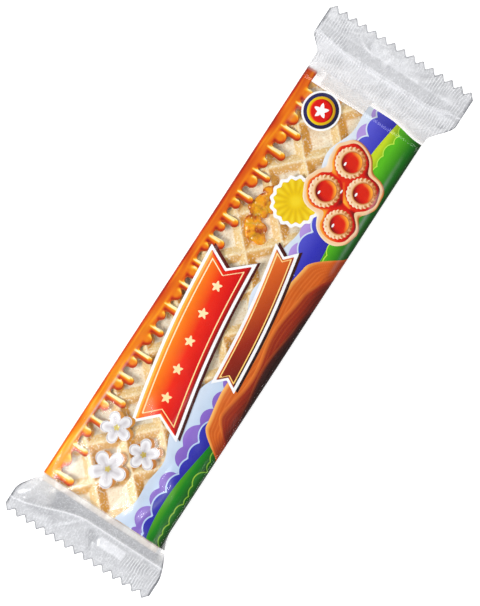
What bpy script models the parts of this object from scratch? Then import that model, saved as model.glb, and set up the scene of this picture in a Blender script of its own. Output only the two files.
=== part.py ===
"""A nougat block between wafers, sealed in a clear flow-wrap film pack, lying with its printed face up.

+X runs along the pack, +Y across it and +Z up. The origin is under the middle of the pack's box, on the
surface that it lies on. The pack is one closed solid of the film's outer shape: the boxy middle that the
block fills, the two shoulders where the film falls away from it, the flat end seals with their saw-toothed
cuts, and the lengthwise seam that lies folded against the back.
"""

import math

import bmesh
import bpy

MM = 0.001
NEAR = -1  # the -X end
FAR = 1  # the +X end

# Driving sizes
PACK_LENGTH = 163.2 * MM
BODY_WIDTH = 37.6 * MM
BODY_HEIGHT = 8.4 * MM
SEAL_WIDTH = 46.2 * MM
BLOCK_LENGTH = 130.0 * MM
BLOCK_SHIFT = -4.2 * MM  # the block lies nearer the -X end of its pack

# The film was drawn slightly askew round the block, so its three widths have their own middles
BODY_OFFSET = 0.4 * MM
SEAL_OFFSET = {NEAR: 0.2 * MM, FAR: -0.2 * MM}

# Film over the block's long edges
EDGE_RADIUS = 1.3 * MM

# End seals: the sealed film is drawn as a plate, since real film is too thin to be a solid
SEAL_THICKNESS = 0.5 * MM
TEETH = 15
TOOTH_DEPTH = 1.6 * MM
RIDGE = {NEAR: 9.6 * MM, FAR: 9.9 * MM}  # the fold across each seal, measured from that end of the pack
NEAR_RIDGE_SKEW = 5.6 * MM  # the -X fold runs outwards by this on its +Y side,
NEAR_RIDGE_TURN = 1.0 * MM  # from this y
SEAL_RISE = {NEAR: 4.3 * MM, FAR: 4.6 * MM}
SEAL_DROOP = 1.4 * MM  # how far the cut edge hangs below the fold

# Where the outline starts to widen from the block's width, and where it has reached the seal's, by end and
# by side, with -1 for -Y: the two ends of each flare, measured from that end of the pack
FLARE = {
    (NEAR, -1): (5.6 * MM, 19.6 * MM),
    (NEAR, 1): (6.1 * MM, 14.6 * MM),
    (FAR, -1): (10.1 * MM, 18.1 * MM),
    (FAR, 1): (9.1 * MM, 14.1 * MM),
}

# Seam folded flat against the back
SEAM_FROM = -2.7 * MM
SEAM_TO = 6.9 * MM
SEAM_PROUD = 0.3 * MM

# Columns across a sheet and rows in each stretch of the pack's length
COLUMNS_PER_TOOTH = 4
COLUMNS = TEETH * COLUMNS_PER_TOOTH
SEAL_ROWS = 4
NEAR_SHOULDER_ROWS = 5
FAR_SHOULDER_ROWS = 9
BODY_ROWS = 9
BODY_CROWDING = 2.0  # above 1, the body's rows crowd towards the -X end, where the flare reaches over the block

HALF_LENGTH = PACK_LENGTH / 2
HALF_SEAL = SEAL_WIDTH / 2
HALF_BODY = BODY_WIDTH / 2
HALF_HEIGHT = (BODY_HEIGHT - SEAM_PROUD) / 2
MID_HEIGHT = SEAM_PROUD + HALF_HEIGHT


def clear_scene():
    for old in list(bpy.data.objects):
        bpy.data.objects.remove(old)


def mix(a, b, share):
    return a + (b - a) * share


def smooth(low, high, value):
    """0 up to low, 1 from high, and an even S between them."""
    share = min(max((value - low) / (high - low), 0.0), 1.0)
    return share * share * (3 - 2 * share)


def cut_line(end, across):
    """x of the saw-toothed cut: a tip in the middle of each tooth and a notch on either side."""
    phase = (across + HALF_SEAL) / SEAL_WIDTH * TEETH
    notch = abs(2 * (phase - math.floor(phase)) - 1)
    return end * (HALF_LENGTH - TOOTH_DEPTH * notch)


def ridge_line(end, across):
    """x of the fold where the film reaches the flat seal."""
    skew = NEAR_RIDGE_SKEW * smooth(NEAR_RIDGE_TURN, HALF_SEAL, across) if end == NEAR else 0.0
    return end * (HALF_LENGTH - RIDGE[end] + skew)


def block_line(end, across):
    """x of the block's end, the same all the way across."""
    return BLOCK_SHIFT + end * BLOCK_LENGTH / 2


def flare(x, across):
    """0 where the outline has the block's width, 1 where it has the seal's."""
    end = FAR if x > 0 else NEAR
    full, none = FLARE[end, 1 if across > 0 else -1]
    return 1 - smooth(full, none, HALF_LENGTH - abs(x))


def body_section(across):
    """The film round the block: y, and height above mid-height as a share of half the height.

    across is how far the same point lies from the middle where the film is flat, in a seal.
    """
    flat = HALF_BODY - EDGE_RADIUS
    arc = EDGE_RADIUS * math.pi / 2
    half_girth = flat + arc + HALF_HEIGHT - EDGE_RADIUS
    along = abs(across) / HALF_SEAL * half_girth
    side = math.copysign(1.0, across)
    if along <= flat:
        return side * along, 1.0
    if along <= flat + arc:
        turn = (along - flat) / EDGE_RADIUS
        y = flat + EDGE_RADIUS * math.sin(turn)
        drop = EDGE_RADIUS * (1 - math.cos(turn))
        return side * y, 1 - drop / HALF_HEIGHT
    drop = EDGE_RADIUS + along - flat - arc
    return side * HALF_BODY, max(1 - drop / HALF_HEIGHT, 0.0)


def loft_rows():
    """Each row from -X to +X: the two lines it lies between, its share of the way from one to the other,
    how far the film has fallen from the block (0) to the seal (1), and how far the seal sags there."""
    cut, ridge, block = cut_line, ridge_line, block_line
    rows = []
    for i in range(SEAL_ROWS):
        share = i / SEAL_ROWS
        rows.append(((cut, NEAR), (ridge, NEAR), share, 1.0, (1 - share) ** 2))
    for i in range(NEAR_SHOULDER_ROWS):
        share = i / NEAR_SHOULDER_ROWS
        rows.append(((ridge, NEAR), (block, NEAR), share, 1 - share, 0.0))
    for i in range(BODY_ROWS):
        share = (i / BODY_ROWS) ** BODY_CROWDING
        rows.append(((block, NEAR), (block, FAR), share, 0.0, 0.0))
    for i in range(FAR_SHOULDER_ROWS):
        share = i / FAR_SHOULDER_ROWS
        rows.append(((block, FAR), (ridge, FAR), share, 1 - (1 - share) ** 2.5, 0.0))
    for i in range(SEAL_ROWS + 1):
        share = i / SEAL_ROWS
        rows.append(((ridge, FAR), (cut, FAR), share, 1.0, share**2))
    return rows


def film_point(row, across, face):
    """A point of the film in one row, on the printed face (face 1) or the back (face -1)."""
    (line_from, end_from), (line_to, end_to), share, fall, sag = row
    x = mix(line_from(end_from, across), line_to(end_to, across), share)
    end = FAR if x > 0 else NEAR
    spread = flare(x, across)
    y_body, rise = body_section(across)
    y = mix(y_body + BODY_OFFSET, across + SEAL_OFFSET[end], spread)
    seam = SEAM_PROUD if face < 0 and SEAM_FROM < across < SEAM_TO else 0.0
    z_body = MID_HEIGHT + face * rise * HALF_HEIGHT - seam
    thinning = smooth(0.0, 1 / COLUMNS, 0.5 - abs(across) / SEAL_WIDTH)
    z_seal = SEAL_RISE[end] - SEAL_DROOP * sag + face * thinning * SEAL_THICKNESS / 2
    return x, y, mix(z_body, z_seal, fall)


def build_pack(name, body_slot):
    """The closed loft: a ring of points for each row, quads between rings, and a strip down each cut."""
    shape = bmesh.new()
    rings = []
    for row in loft_rows():
        top = []
        back = []
        for column in range(COLUMNS + 1):
            across = mix(-HALF_SEAL, HALF_SEAL, column / COLUMNS)
            top.append(shape.verts.new(film_point(row, across, 1)))
            if 0 < column < COLUMNS:
                back.append(shape.verts.new(film_point(row, across, -1)))
        rings.append((top, [top[0], *back, top[-1]]))

    block_ends = block_line(NEAR, 0.0), block_line(FAR, 0.0)
    for (top, back), (next_top, next_back) in zip(rings, rings[1:]):
        x = (top[0].co.x + next_top[0].co.x) / 2
        over_block = block_ends[0] < x < block_ends[1]
        for column in range(COLUMNS):
            pair = slice(column, column + 2)
            for face in (
                shape.faces.new((*top[pair], *next_top[pair][::-1])),
                shape.faces.new((*next_back[pair], *back[pair][::-1])),
            ):
                face.material_index = body_slot if over_block else 0
    for top, back in (rings[0], rings[-1]):
        for column in range(COLUMNS):
            corners = top[column], top[column + 1], back[column + 1], back[column]
            shape.faces.new(dict.fromkeys(corners))
    bmesh.ops.recalc_face_normals(shape, faces=shape.faces)

    mesh = bpy.data.meshes.new(name)
    shape.to_mesh(mesh)
    shape.free()
    return bpy.data.objects.new(name, mesh)


def add_material(thing, name, colour, roughness):
    material = bpy.data.materials.new(name)
    material.use_nodes = True
    shader = material.node_tree.nodes["Principled BSDF"]
    shader.inputs["Base Color"].default_value = (*colour, 1.0)
    shader.inputs["Roughness"].default_value = roughness
    shader.inputs["Metallic"].default_value = 0.0
    thing.data.materials.append(material)


clear_scene()
parts = bpy.data.collections.new("nougat_block_pack")
bpy.context.scene.collection.children.link(parts)

film_pack = build_pack("film_pack", body_slot=1)
parts.objects.link(film_pack)
add_material(film_pack, "clear_film", (0.80, 0.81, 0.83), 0.18)
add_material(film_pack, "printed_film", (0.89, 0.62, 0.30), 0.22)
film_pack.data.shade_smooth()
film_pack.data.set_sharp_from_angle(angle=math.radians(35))
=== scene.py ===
"""A nougat block between two wafer sheets in a clear, partly printed flow wrap, lying with its face up.

The CAD gives the sealed pack as one solid. Here it becomes what the pack really is: the block inside, the
clear film round it with its crimped end seals and its back seam, and the inks on the film's inner side.
Lengths are in millimetres until a mesh is made.
"""

import math

import bpy
import numpy as np
from mathutils import Matrix, Vector


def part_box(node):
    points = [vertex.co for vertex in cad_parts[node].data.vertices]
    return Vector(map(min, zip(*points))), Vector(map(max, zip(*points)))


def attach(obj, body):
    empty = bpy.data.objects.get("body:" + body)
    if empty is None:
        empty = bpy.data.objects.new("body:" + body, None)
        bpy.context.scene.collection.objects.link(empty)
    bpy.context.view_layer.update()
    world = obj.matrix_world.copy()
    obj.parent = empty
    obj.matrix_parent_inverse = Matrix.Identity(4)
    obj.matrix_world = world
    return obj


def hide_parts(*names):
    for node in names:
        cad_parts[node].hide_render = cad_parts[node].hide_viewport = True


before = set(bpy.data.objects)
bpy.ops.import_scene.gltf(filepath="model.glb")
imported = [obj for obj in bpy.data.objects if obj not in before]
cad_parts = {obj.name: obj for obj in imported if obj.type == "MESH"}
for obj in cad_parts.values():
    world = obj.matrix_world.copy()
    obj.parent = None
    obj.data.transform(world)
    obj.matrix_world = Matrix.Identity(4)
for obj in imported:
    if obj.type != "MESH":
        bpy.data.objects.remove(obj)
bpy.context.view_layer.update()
MM = 0.001
pack_low, pack_high = (np.array(corner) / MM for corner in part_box("film_pack"))
PACK_LENGTH = float(pack_high[0] - pack_low[0])
PACK_TOP = float(pack_high[2])


# The wafer sheets: two crisp baked sheets above and below the nougat, each with the waffle iron's lattice
# of ridges round sunken diamonds. The lower one lies with its ridges down. Each is a box whose outer face
# is raised by a rule, made by one Geometry Nodes tree.
BLOCK_LENGTH = 129.2
BLOCK_WIDTH = 36.4
BLOCK_MIDDLE = (-4.5, 0.4)
BLOCK_BOTTOM = 0.95
BLOCK_TOP = PACK_TOP - 0.55
WAFER_THICKNESS = 1.5  # without its ridges
RIDGE_HEIGHT = 1.15
CELL_LENGTH = 14.8  # from one diamond to the next along the block
CELL_WIDTH = 14.4
CELL_PHASE = (-54.8, 5.9)  # the middle of one diamond
FLOOR_SHARE = 0.52  # of the way from a diamond's middle to the ridge's crest, where its wall starts
CREST_SHARE = 0.95
WAFER_PITCH = 0.34  # between the mesh's points
SHADED_FLANK_FACING = (0.35, -0.9, 0)  # the way that the flanks face which are painted a deeper gold, as painted shade
# The wafer's colours from a diamond's floor, 0, to a ridge's crest, 1
WAFER_TONES = (
    (0.00, 247, 234, 206),
    (0.08, 245, 228, 192),
    (0.17, 236, 202, 140),
    (0.55, 238, 206, 144),
    (0.86, 242, 214, 156),
    (0.98, 250, 232, 194),
)


class Value:
    """A socket of a node tree. Arithmetic on it adds Math nodes, and node() adds a node of any other kind."""

    def __init__(self, tree, socket=None):
        self.tree = tree
        self.socket = socket

    def node(self, kind, settings=(), inputs=(), output=0):
        """Adds a node, its settings first, with numbers, colours or other values on its inputs."""
        new = self.tree.nodes.new(kind)
        for name, setting in dict(settings).items():
            if name == "stops":
                ramp = new.color_ramp.elements
                while len(ramp) < len(setting):
                    ramp.new(1.0)
                for stop, (place, colour) in zip(ramp, setting):
                    stop.position = place
                    stop.color = colour
            else:
                setattr(new, name, setting)
        for place, value in dict(inputs).items():
            if isinstance(value, Value):
                self.tree.links.new(value.socket, new.inputs[place])
            else:
                new.inputs[place].default_value = value
        return Value(self.tree, None if output is None else new.outputs[output])

    def maths(self, operation, *values, clamp=False):
        settings = {"operation": operation, "use_clamp": clamp}
        return self.node("ShaderNodeMath", settings, dict(enumerate((self, *values))))

    def __add__(self, other):
        return self.maths("ADD", other)

    def __sub__(self, other):
        return self.maths("SUBTRACT", other)

    def __rsub__(self, other):
        return self.node("ShaderNodeMath", {"operation": "SUBTRACT"}, {0: other, 1: self})

    def __mul__(self, other):
        return self.maths("MULTIPLY", other)

    def __truediv__(self, other):
        return self.maths("DIVIDE", other)

    def __abs__(self):
        return self.maths("ABSOLUTE")

    __radd__ = __add__
    __rmul__ = __mul__


def new_tree(name, numbers, counts):
    """A Geometry Nodes tree with the named inputs, and those inputs as values."""
    tree = bpy.data.node_groups.new(name, "GeometryNodeTree")
    for kind, names in (("NodeSocketFloat", numbers), ("NodeSocketInt", counts)):
        for name in names:
            tree.interface.new_socket(name, in_out="INPUT", socket_type=kind)
    tree.interface.new_socket("Geometry", in_out="OUTPUT", socket_type="NodeSocketGeometry")
    entry = tree.nodes.new("NodeGroupInput")
    return tree, {name: Value(tree, entry.outputs[name]) for name in (*numbers, *counts)}


def end_tree(shape, material):
    """Realizes what the tree has made, gives it its material and hands it out."""
    shape = shape.node("GeometryNodeRealizeInstances", inputs={0: shape})
    shape = shape.node("GeometryNodeSetMaterial", inputs={"Geometry": shape, "Material": material})
    shape.node("NodeGroupOutput", inputs={0: shape}, output=None)


def new_object(name, data):
    thing = bpy.data.objects.new(name, data)
    bpy.context.scene.collection.objects.link(thing)
    return thing


def from_tree(name, tree, values):
    """A plain mesh object of what the tree makes with these values on its named inputs."""
    carrier = new_object(name, bpy.data.meshes.new(name))
    modifier = carrier.modifiers.new("shape", "NODES")
    modifier.node_group = tree
    for socket in tree.interface.items_tree:
        if socket.in_out == "INPUT":
            modifier[socket.identifier] = values[socket.name]
    seen = carrier.evaluated_get(bpy.context.evaluated_depsgraph_get())
    mesh = bpy.data.meshes.new_from_object(seen)
    carrier.modifiers.remove(modifier)
    carrier.data = mesh
    mesh.name = name
    return carrier


def linear(red, green, blue):
    """A colour as its picture says it, 0 to 255, in the linear numbers that shaders take."""
    parts = [part / 255 for part in (red, green, blue)]
    return (*(p / 12.92 if p <= 0.04045 else ((p + 0.055) / 1.055) ** 2.4 for p in parts), 1.0)


def new_material(name):
    """An empty material and the place in it, in millimetres, of the point that is shaded."""
    material = bpy.data.materials.new(name)
    material.use_nodes = True
    material.node_tree.nodes.clear()
    metres = Value(material.node_tree).node("ShaderNodeTexCoord", output="Object")
    place = metres.node("ShaderNodeVectorMath", {"operation": "SCALE"}, {0: metres, "Scale": 1 / MM})
    return material, place


def noise(place, scale, detail=2.0, stretch=(1, 1, 1)):
    """Noise from 0 to 1, with about scale lumps in each millimetre."""
    if stretch != (1, 1, 1):
        place = place.node("ShaderNodeVectorMath", {"operation": "MULTIPLY"}, {0: place, 1: stretch})
    return place.node("ShaderNodeTexNoise", inputs={"Vector": place, "Scale": scale, "Detail": detail})


def step_up(value, low, high):
    """0 up to low and 1 from high, with an even S between them."""
    return value.node("ShaderNodeMapRange", {"interpolation_type": "SMOOTHSTEP"}, {0: value, 1: low, 2: high})


def blend(share, first, second):
    """first where share is 0 and second where it is 1, for colours."""
    return share.node("ShaderNodeMix", {"data_type": "RGBA"}, {0: share, 6: first, 7: second}, output=2)


def ramp(value, stops):
    """A colour that follows stops, each a place from 0 to 1 with its red, green and blue, along a value."""
    stops = [(place, linear(*colour)) for place, *colour in stops]
    return value.node("ShaderNodeValToRGB", {"stops": stops}, {0: value})


def along(vector, direction):
    """How far a vector goes in a direction."""
    inputs = {0: vector, 1: direction}
    return vector.node("ShaderNodeVectorMath", {"operation": "DOT_PRODUCT"}, inputs, output="Value")


def bump(height, distance):
    """A normal for relief of this height, in millimetres for each 1 of height."""
    inputs = {"Height": height, "Distance": distance * MM, "Strength": 1.0}
    return height.node("ShaderNodeBump", inputs=inputs, output="Normal")


def principled(place, inputs):
    return place.node("ShaderNodeBsdfPrincipled", inputs=inputs)


def surface(shader):
    shader.node("ShaderNodeOutputMaterial", inputs={0: shader}, output=None)


def wafer_material():
    """Pale floors with pits and specks, walls baked golden and crests pale again. The flanks that face
    away from the key light are painted a deeper gold, as painted shade.
    """
    material, place = new_material("baked wafer")
    height = place.node("ShaderNodeSeparateXYZ", inputs={0: place}, output="Z")
    middle = (BLOCK_TOP + BLOCK_BOTTOM) / 2
    rise = abs(height - middle) - (BLOCK_TOP - BLOCK_BOTTOM) / 2 + RIDGE_HEIGHT
    rise = rise + noise(place, 0.9, 3.0) * 0.22 - 0.11
    colour = ramp(rise / RIDGE_HEIGHT, WAFER_TONES)
    normal = place.node("ShaderNodeNewGeometry", output="Normal")
    patches = step_up(noise(place, 0.16, 3.0), 0.40, 0.75)
    # Painted shade: flanks that face away from the key light are blended to a deeper gold.
    shaded_flank = step_up(along(normal, SHADED_FLANK_FACING), -0.05, 0.36)
    specks = step_up(noise(place, 2.1, 3.0), 0.52, 0.64)
    flour = step_up(noise(place, 1.7, 3.0), 0.53, 0.66)
    for share, tint in (
        (patches * 0.25, (228, 160, 60)),
        (shaded_flank * 0.90, (222, 150, 36)),
        (specks * 0.40, (204, 152, 92)),
        (flour * 0.60, (255, 248, 230)),
    ):
        colour = blend(share, colour, linear(*tint))
    relief = bump(noise(place, 3.2, 4.0) * 0.7 + noise(place, 9.0, 2.0) * 0.3, 0.16)
    roughness = 0.62 + noise(place, 1.2) * 0.2
    skin = {"Roughness": roughness, "Specular IOR Level": 0.3, "Normal": relief}
    surface(principled(place, {"Base Color": colour, **skin}))
    return material


def wafer_tree(material):
    """A box with the lattice raised on its upper face, which turn = -1 lays face down."""
    sizes = "Length", "Width", "Thickness", "Ridge", "Cell length", "Cell width"
    places = "Phase x", "Phase y", "Turn", "Middle x", "Middle y", "Middle z"
    tree, given = new_tree("wafer sheet", (*sizes, *places), ("Points x", "Points y"))
    start = given["Length"]
    size = start.node("ShaderNodeCombineXYZ", inputs={0: start, 1: given["Width"], 2: given["Thickness"]})
    points = {"Vertices X": given["Points x"], "Vertices Y": given["Points y"], "Vertices Z": 2}
    box = start.node("GeometryNodeMeshCube", inputs={"Size": size, **points})
    place = start.node("GeometryNodeInputPosition")
    x, y, z = (start.node("ShaderNodeSeparateXYZ", inputs={0: place}, output=axis) for axis in "XYZ")
    forth = (x + given["Middle x"] - given["Phase x"]) / given["Cell length"]
    over = (y + given["Middle y"] - given["Phase y"]) / given["Cell width"]

    def ridge(turns):
        """0 over a diamond's floor and 1 on the crest halfway to the next one."""
        from_floor = abs(turns - turns.maths("ROUND")) * 2
        share = (from_floor - FLOOR_SHARE) / (CREST_SHARE - FLOOR_SHARE)
        return share.maths("MAXIMUM", 0).maths("MINIMUM", 1)

    lattice = ridge(forth + over).maths("MAXIMUM", ridge(forth - over))
    sag = noise(place, 0.12, 1.0) * 0.3 - 0.15
    crumb = noise(place, 1.6, 2.0) * 0.14 - 0.07
    is_outer = z.maths("GREATER_THAN", 0)
    height = (lattice * given["Ridge"] + crumb - 0.07) * is_outer
    ragged = (noise(place, 0.8, 3.0) - 0.5) * 0.5
    at_end = (abs(x) * 2).maths("GREATER_THAN", given["Length"] * 0.9999)
    at_side = (abs(y) * 2).maths("GREATER_THAN", given["Width"] * 0.9999)
    new_x = x + at_end * ragged
    new_y = (y + at_side * ragged) * given["Turn"]
    new_z = (z + height + sag * is_outer * 0.2) * given["Turn"]
    moved = [new_x + given["Middle x"], new_y + given["Middle y"], new_z + given["Middle z"]]
    moved = start.node("ShaderNodeCombineXYZ", inputs=dict(enumerate(moved)))
    metres = start.node("ShaderNodeVectorMath", {"operation": "SCALE"}, {0: moved, "Scale": MM})
    shape = start.node("GeometryNodeSetPosition", inputs={"Geometry": box, "Position": metres})
    shape = start.node("GeometryNodeSetShadeSmooth", inputs={0: shape})
    end_tree(shape, material)
    return tree


wafer = wafer_material()
wafer_shape = wafer_tree(wafer)
for name, turn, base in (
    ("wafer_top", 1, BLOCK_TOP - RIDGE_HEIGHT - WAFER_THICKNESS / 2),
    ("wafer_bottom", -1, BLOCK_BOTTOM + RIDGE_HEIGHT + WAFER_THICKNESS / 2),
):
    sheet = from_tree(
        name,
        wafer_shape,
        {
            "Length": BLOCK_LENGTH,
            "Width": BLOCK_WIDTH,
            "Thickness": WAFER_THICKNESS,
            "Ridge": RIDGE_HEIGHT,
            "Cell length": CELL_LENGTH,
            "Cell width": CELL_WIDTH,
            "Phase x": CELL_PHASE[0],
            "Phase y": CELL_PHASE[1],
            "Turn": turn,
            "Middle x": BLOCK_MIDDLE[0],
            "Middle y": BLOCK_MIDDLE[1],
            "Middle z": base,
            "Points x": round(BLOCK_LENGTH / WAFER_PITCH),
            "Points y": round(BLOCK_WIDTH / WAFER_PITCH),
        },
    )
    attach(sheet, "root")


# The nougat: a soft ivory slab pressed between the wafers and cut with them, so its cut edges bulge a
# little past theirs. Only its ends show, through the bare film.
NOUGAT_BULGE = 0.25
NOUGAT_SET_BACK = 0.1  # from the wafers' edges, before it bulges
NOUGAT_OVERLAP = 0.1  # how far it is pressed into each wafer
NOUGAT_PITCH = 0.8
NOUGAT_LAYERS = 7


def waves(x, y, lengths, seed):
    """Soft irregular relief between about -1 and 1: sines of random direction with about these lengths."""
    random = np.random.default_rng(seed)
    total = np.zeros(np.broadcast(x, y).shape)
    for length in lengths:
        heading, start = random.uniform(0, 2 * math.pi, 2)
        total = total + np.sin(2 * math.pi * (x * math.cos(heading) + y * math.sin(heading)) / length + start)
    return total / math.sqrt(len(lengths)) / 1.4


def mesh_object(name, points, faces, material):
    """A smooth-shaded object of these points, in millimetres, and faces."""
    mesh = bpy.data.meshes.new(name)
    mesh.from_pydata(np.asarray(points) * MM, [], faces)
    mesh.materials.append(material)
    mesh.shade_smooth()
    return new_object(name, mesh)


def nougat_material():
    """Ivory, with a satin skin where it was cut, faint air bubbles and flecks of roasted nut."""
    material, place = new_material("nougat")
    bubbles = step_up(noise(place, 2.6, 3.0), 0.55, 0.72)
    nuts = step_up(noise(place, 0.7, 1.0), 0.64, 0.70)
    colour = blend(bubbles * 0.35, linear(240, 220, 178), linear(214, 180, 124))
    colour = blend(nuts, colour, linear(196, 138, 74))
    depth = {"Subsurface Weight": 0.15, "Subsurface Scale": 0.002}
    skin = {"Roughness": 0.48 + bubbles * 0.2, "Normal": bump(noise(place, 1.4, 4.0), 0.5)}
    surface(principled(place, {"Base Color": colour, **depth, **skin}))
    return material


nougat_low = BLOCK_BOTTOM + RIDGE_HEIGHT + WAFER_THICKNESS - NOUGAT_OVERLAP
nougat_high = BLOCK_TOP - RIDGE_HEIGHT - WAFER_THICKNESS + NOUGAT_OVERLAP
outline = []
for side_length, other, turn in ((BLOCK_LENGTH, BLOCK_WIDTH, 0), (BLOCK_WIDTH, BLOCK_LENGTH, 1)) * 2:
    places = np.arange(-side_length / 2, side_length / 2 - NOUGAT_PITCH / 2, NOUGAT_PITCH)
    sign = -1 if len(outline) < 2 else 1
    ring = np.stack([places * -sign, np.full(len(places), other / 2 * sign)], axis=1)
    outline.append(ring[:, ::-1] * (-1, 1) if turn else ring)
outline = np.concatenate(outline)
at_edge = np.abs(outline) >= np.array([BLOCK_LENGTH, BLOCK_WIDTH]) / 2 - 0.01
outward = np.where(at_edge, np.sign(outline), 0)
points, faces = [], []
count = len(outline)
for layer in range(NOUGAT_LAYERS):
    share = layer / (NOUGAT_LAYERS - 1)
    swell = NOUGAT_BULGE * math.sqrt(max(1 - (2 * share - 1) ** 2, 0)) - NOUGAT_SET_BACK
    rough = 0.12 * waves(outline[:, 0] + outline[:, 1], layer * 1.5, (2.1, 3.4, 5.3, 9.0), 11)
    ring = outline + outward * (swell + rough)[:, None] + BLOCK_MIDDLE
    height = nougat_low + (nougat_high - nougat_low) * share
    points.append(np.column_stack([ring, np.full(count, height)]))
    if layer:
        after = np.roll(np.arange(count), -1) + layer * count
        here = np.arange(count) + layer * count
        faces += np.stack([here - count, after - count, after, here], axis=1).tolist()
faces.append(tuple(range(count))[::-1])
faces.append(tuple(range(layer * count, (layer + 1) * count)))
nougat = mesh_object("nougat", np.concatenate(points), faces, nougat_material())
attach(nougat, "root")


# The caramel: a few glossy amber lumps that broke out on the upper wafer, pressed flat by the film.
# Each is a squashed ball with an uneven skin.
LUMPS = (  # x, y and radius of each
    (16.9, 5.3, 2.0),
    (18.2, 7.2, 2.8),
    (20.6, 8.8, 2.1),
    (22.8, 9.6, 2.2),
    (25.3, 9.0, 2.8),
    (26.9, 7.0, 2.4),
    (29.2, 9.4, 1.8),
    (23.4, 7.6, 1.5),
)
LUMP_BOTTOM = BLOCK_TOP - RIDGE_HEIGHT - 0.3
LUMP_TOP = BLOCK_TOP + 0.12
TURN_STEPS = 40
TILT_STEPS = 18
caramel, place = new_material("caramel")
amber = blend(step_up(noise(place, 0.45, 3.0), 0.42, 0.72), linear(250, 166, 16), linear(172, 62, 0))
# Painted highlights: pale spots on the amber stand in for glints on the glossy lumps.
amber = blend(step_up(noise(place, 1.5, 2.0), 0.66, 0.73) * 0.8, amber, linear(255, 236, 160))
depth = {"Subsurface Weight": 0.35, "Subsurface Scale": 0.0015}
skin = {"Roughness": 0.12 + noise(place, 1.0) * 0.1, "Normal": bump(noise(place, 0.5, 2.0), 0.5)}
surface(principled(place, {"Base Color": amber, **depth, **skin}))
points, faces = [], []
turns = np.arange(TURN_STEPS) * 2 * math.pi / TURN_STEPS
for number, (lump_x, lump_y, radius) in enumerate(LUMPS):
    uneven = waves(3 * np.cos(turns), 3 * np.sin(turns) + 7 * number, (6.0, 4.5, 9.0), 50)
    for tilt in math.pi * np.arange(TILT_STEPS + 1) / TILT_STEPS:
        first = len(points)
        height = LUMP_BOTTOM + (LUMP_TOP - LUMP_BOTTOM) * (1 + math.cos(tilt)) / 2
        width = radius * (1 + 0.24 * uneven) * max(math.sin(tilt), 0) ** 0.7
        for turn, reach in zip(turns, width):
            points.append((lump_x + reach * math.cos(turn), lump_y + reach * math.sin(turn), height))
        if tilt:
            for a in range(first, first + TURN_STEPS):
                b = a + 1 if a + 1 < first + TURN_STEPS else first
                faces.append((a - TURN_STEPS, a, b, b - TURN_STEPS))
lumps = mesh_object("caramel_lumps", points, faces, caramel)
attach(lumps, "root")


# The film: one clear glossy sheet drawn round the block. It lies flat over the ridges, sinks a little over
# the diamonds, falls away past the block's ends and is pressed flat between ribbed jaws into two end
# seals, whose edges are cut into teeth. The same rules as the CAD's give its form, with finer folds.
NEAR, FAR = -1, 1  # the -X and the +X end
HALF_LENGTH = PACK_LENGTH / 2
HALF_SEAL = 23.1
HALF_BODY = 18.8
EDGE_RADIUS = 1.3
SEAM_PROUD = 0.3
HALF_HEIGHT = (PACK_TOP - SEAM_PROUD) / 2
MID_HEIGHT = SEAM_PROUD + HALF_HEIGHT
BODY_OFFSET = 0.4
SEAL_OFFSET = {NEAR: 0.2, FAR: -0.2}
BLOCK_END = {NEAR: -69.2, FAR: 60.8}
RIDGE = {NEAR: 9.6, FAR: 9.9}
NEAR_RIDGE_SKEW = 5.6
NEAR_RIDGE_TURN = 1.0
SEAL_RISE = {NEAR: 4.3, FAR: 4.6}
SEAL_DROOP = 1.4
SEAL_FILM = 0.1
TEETH = 15
TOOTH_DEPTH = 1.6
FLARE = {(NEAR, -1): (5.6, 19.6), (NEAR, 1): (6.1, 14.6), (FAR, -1): (10.1, 18.1), (FAR, 1): (9.1, 14.1)}
RIB_PITCH = 0.77  # of the jaws' ribs across a seal
PRINT_NEAR = -67.3
PRINT_FAR = 63.4
PRINT_FAR_SKEW = 1.5
COLUMNS = 240
ROWS = (30, 18, 6, 60, 36, 30)  # in each stretch: seal, shoulder, the block's -X end, block, shoulder, seal
FINE_END = 2.2  # how far the fine rows reach over the block at its -X end
SAG_OVER_CELL = 0.10
SLACK = 0.10
FILM_INSET = 0.02  # how far inside the CAD's skin the film lies
FAR_CREST = 71.4  # x of the ridge across the +X seal, in its middle
CREST_HEIGHT = 0.30
CREST_WIDTH = 0.42
# How milky the film is: bare over the block, in each seal, in the band past the -X ridge (painted shade, with
# its grey), in the flared sides, and what its rims add as painted shade and its crests as a painted highlight
CLEAR_MILK = 0.004
SEAL_MILK = {NEAR: 0.64, FAR: 0.60}
BAND_SHADE_MILK = 0.88
FLARED_MILK = 0.5
RIM_SHADE_MILK = 0.3
CREST_HIGHLIGHT_MILK = 0.25
# How grey that milk is, and what rims add as painted shade, and crests and folds take away as painted
# highlights; a fold of negative height adds painted shade instead
SEAL_GREY = {NEAR: 0.38, FAR: 0.16}
BAND_PAINTED_SHADE = 0.62
FAR_EDGE_GREY = 0.18
RIM_PAINTED_SHADE = 0.7
CREST_PAINTED_HIGHLIGHT = 0.45
FOLD_PAINTED_LIGHT_AND_SHADE = 0.8
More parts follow.
